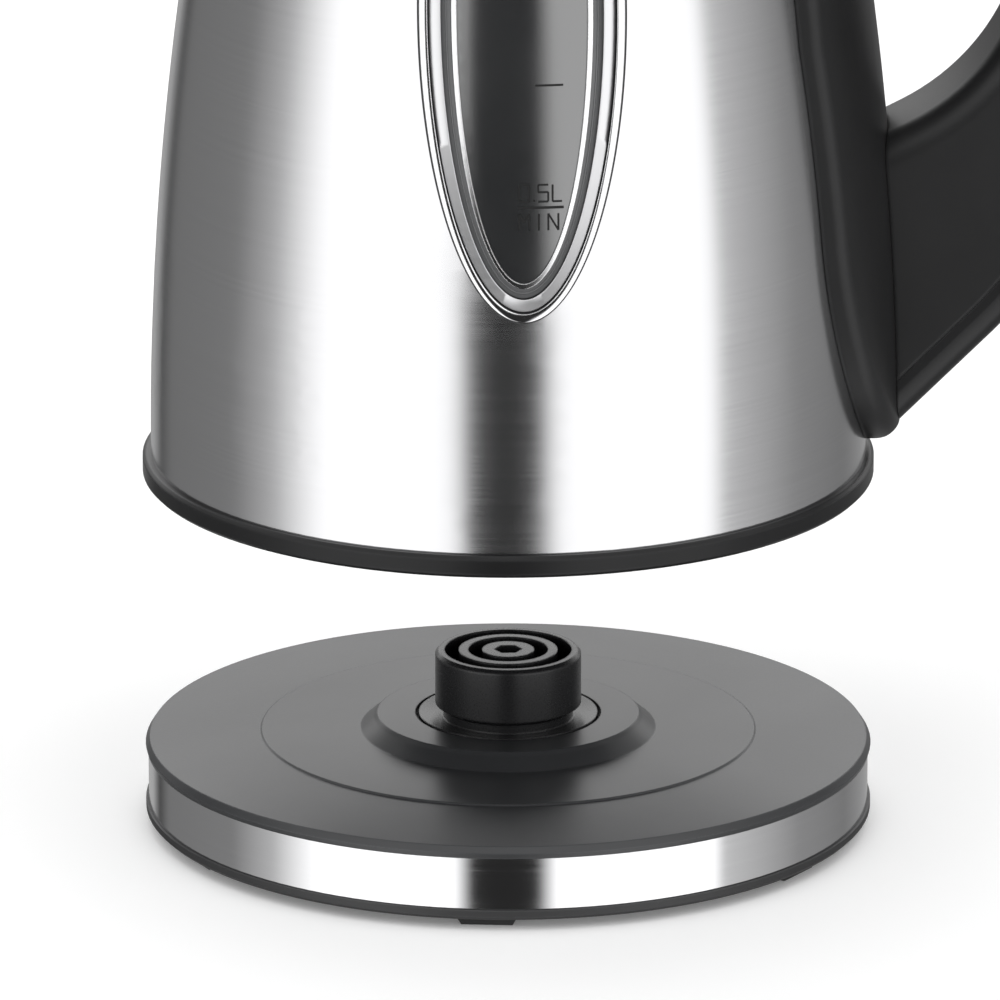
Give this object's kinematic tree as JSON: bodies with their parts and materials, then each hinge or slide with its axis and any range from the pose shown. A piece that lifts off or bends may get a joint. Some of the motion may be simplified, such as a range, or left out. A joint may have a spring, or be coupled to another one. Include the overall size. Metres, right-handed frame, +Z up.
{
  "type": "electric kettle",
  "caption": "Cordless electric kettle of brushed steel with a D-shaped black handle and an oval water window, lifted above its round power base.",
  "frame": {"origin": "on the connector's axis, at the level of the table under the base", "axes": "+Z up along the connector's axis, +X towards the handle, -X towards the spout, -Y towards the water window"},
  "size_m": [0.2152, 0.1604, 0.2981],
  "materials": {
    "body_steel": "horizontally brushed",
    "polished_steel": "polished",
    "black_satin": "satin",
    "black_gloss": "semi-gloss",
    "black_matte": "matte",
    "grey_plastic": "satin",
    "black_rubber": "matte",
    "silicone": "soft matte",
    "smoked_lens": "clear, smoked",
    "inner_steel": "satin",
    "screw_steel": "zinc plated",
    "contact_brass": "bright",
    "aluminium": "as pressed",
    "element_tube": "heat tinted",
    "lead_cover": "smooth sleeve"
  },
  "bodies": {
    "base": {"base_top_cover": "black_satin", "base_band": "polished_steel", "base_bottom_cover": "black_matte", "base_feet": "black_rubber", "base_screws": "screw_steel", "cord_bushing": "black_rubber", "cord_clamp": "black_matte", "cord_clamp_screws": "screw_steel", "base_leads": "lead_cover", "connector_housing": "black_gloss", "connector_clamp": "black_matte", "contact_earth_ring": "contact_brass", "contact_neutral_ring": "contact_brass", "contact_live_clip": "contact_brass"},
    "coupler": {"socket_housing": "black_matte", "socket_earth_ring": "contact_brass", "socket_neutral_ring": "contact_brass", "socket_live_pin": "contact_brass"},
    "kettle": {"body_shell": "body_steel", "spout": "body_steel", "spout_filter": "grey_plastic", "kettle_bottom_cover": "black_gloss", "bottom_screws": "screw_steel", "cover_tabs": "inner_steel", "heating_plate": "inner_steel", "heat_spreader": "aluminium", "heating_element": "element_tube", "control_body": "black_matte", "control_discs": "contact_brass", "control_screws": "screw_steel", "window_bezel": "polished_steel", "window_gasket": "black_rubber", "window_frame": "polished_steel", "window_lens": "smoked_lens", "window_clamp": "inner_steel", "handle_plate": "black_satin", "handle_body": "black_satin", "handle_cover": "black_gloss", "handle_screws": "screw_steel", "handle_leads": "lead_cover", "top_collar": "black_gloss", "lid_pin": "inner_steel"},
    "lid": {"lid_cover": "black_gloss", "lid_inner": "grey_plastic", "lid_seal": "silicone"},
    "switch": {"switch_rocker": "black_gloss"}
  },
  "joints": [
    {"name": "kettle_lift", "type": "slide", "parent": "base", "child": "coupler", "axis": [0, 0, 1], "range_m": [-0.0602, 0.25]},
    {"name": "kettle_spin", "type": "hinge", "parent": "coupler", "child": "kettle", "pos_m": [0, 0, 0.09], "axis": [0, 0, 1], "continuous": true},
    {"name": "lid_hinge", "type": "hinge", "parent": "kettle", "child": "lid", "pos_m": [0.05, 0, 0.2947], "axis": [0, 1, 0], "range_deg": [0, 80]},
    {"name": "power_switch", "type": "hinge", "parent": "kettle", "child": "switch", "pos_m": [0.07429, 0, 0.28574], "axis": [0, 1, 0], "range_deg": [-6, 6]}
  ]
}
